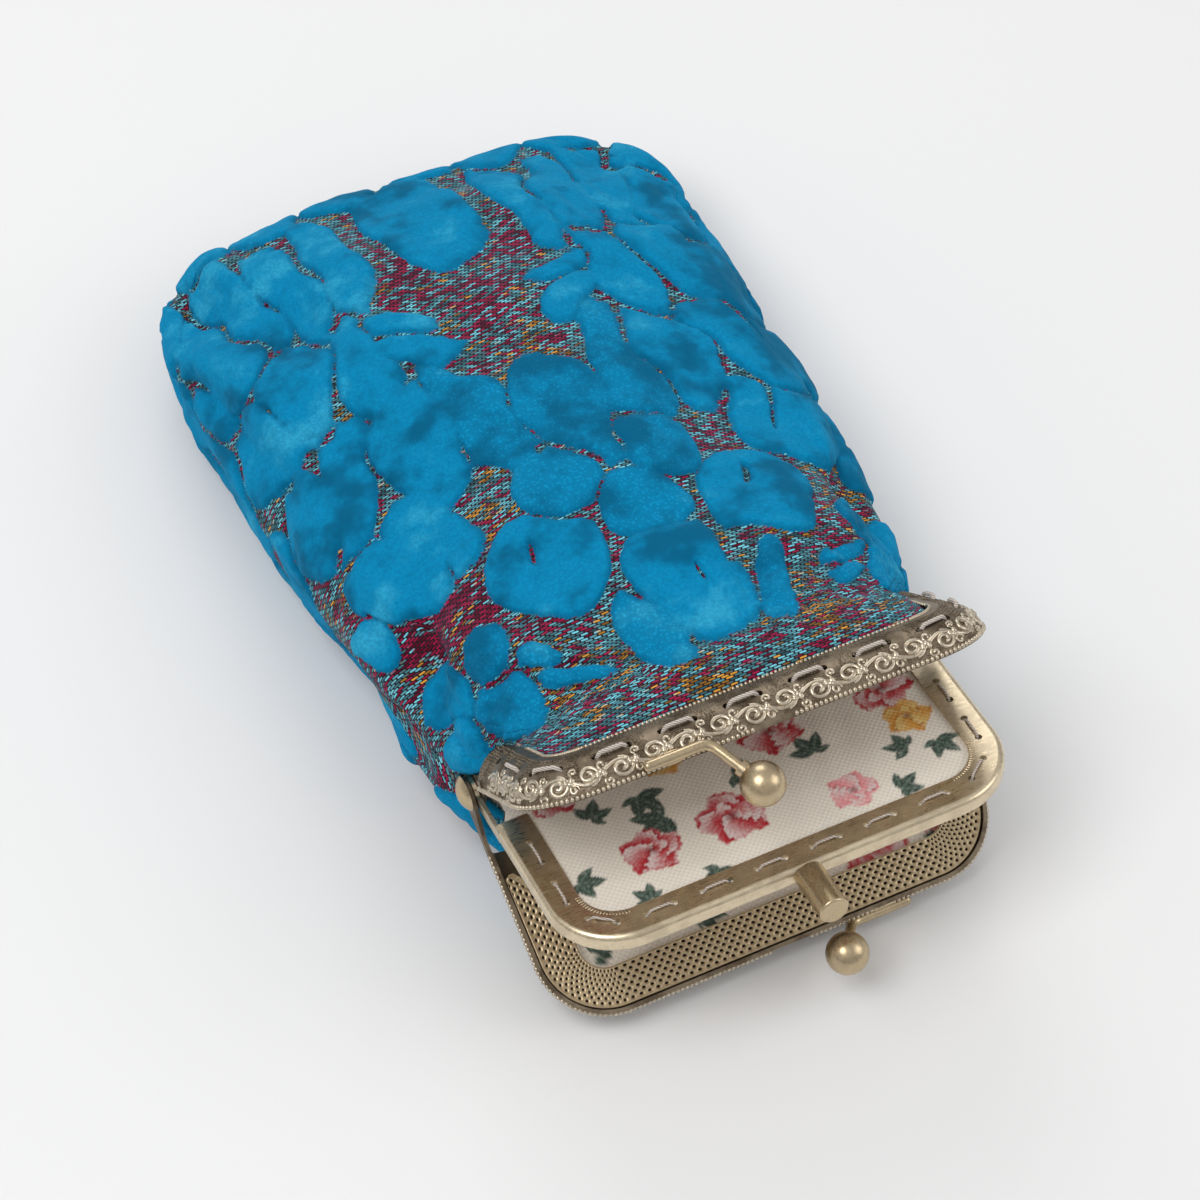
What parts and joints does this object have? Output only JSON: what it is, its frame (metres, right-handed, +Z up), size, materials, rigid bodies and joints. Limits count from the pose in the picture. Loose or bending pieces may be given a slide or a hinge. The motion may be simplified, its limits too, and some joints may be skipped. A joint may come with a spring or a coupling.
{
  "type": "coin purse",
  "caption": "Long two-pocket kiss-lock pouch: a hinged three-leaf brass frame with ball clasps and a central post, sewn to a padded, lined velvet bag.",
  "frame": {"origin": "on the table, under the middle of the pouch's overall box", "axes": "+X across the mouth to the wearer's right of the clasp, -Y out of the mouth, +Z up from the table the pouch lies on"},
  "size_m": [0.113, 0.209, 0.0695],
  "materials": {
    "antique_brass": "antique",
    "pale_brass": "brushed",
    "velvet": "cut pile",
    "padding": "batting",
    "cotton_print": "plain weave",
    "buckram": "stiffened"
  },
  "bodies": {
    "root": {"middle_frame": "antique_brass", "centre_post": "pale_brass", "left_hinge_rivet": "pale_brass", "right_hinge_rivet": "pale_brass", "front_velvet_panel": "velvet", "back_velvet_panel": "velvet", "front_padding": "padding", "back_padding": "padding", "front_lining": "cotton_print", "back_lining": "cotton_print", "divider_stiffener": "buckram", "divider_front_lining": "cotton_print", "divider_back_lining": "cotton_print"},
    "front_leaf": {"front_frame": "antique_brass", "front_inner_strip": "pale_brass", "front_clasp_arm": "pale_brass", "front_clasp_ball": "pale_brass", "front_velvet_mouth": "velvet", "front_lining_mouth": "cotton_print"},
    "back_leaf": {"back_frame": "antique_brass", "back_inner_strip": "pale_brass", "back_clasp_arm": "pale_brass", "back_clasp_ball": "pale_brass", "back_velvet_mouth": "velvet", "back_lining_mouth": "cotton_print"}
  },
  "joints": [
    {"name": "front_leaf_hinge", "type": "hinge", "parent": "root", "child": "front_leaf", "pos_m": [0, -0.04552, 0.02899], "axis": [1, 0, 0], "range_deg": [-15, 34.9]},
    {"name": "back_leaf_hinge", "type": "hinge", "parent": "root", "child": "back_leaf", "pos_m": [0, -0.04552, 0.02899], "axis": [1, 0, 0], "range_deg": [-35.6, 15]}
  ]
}
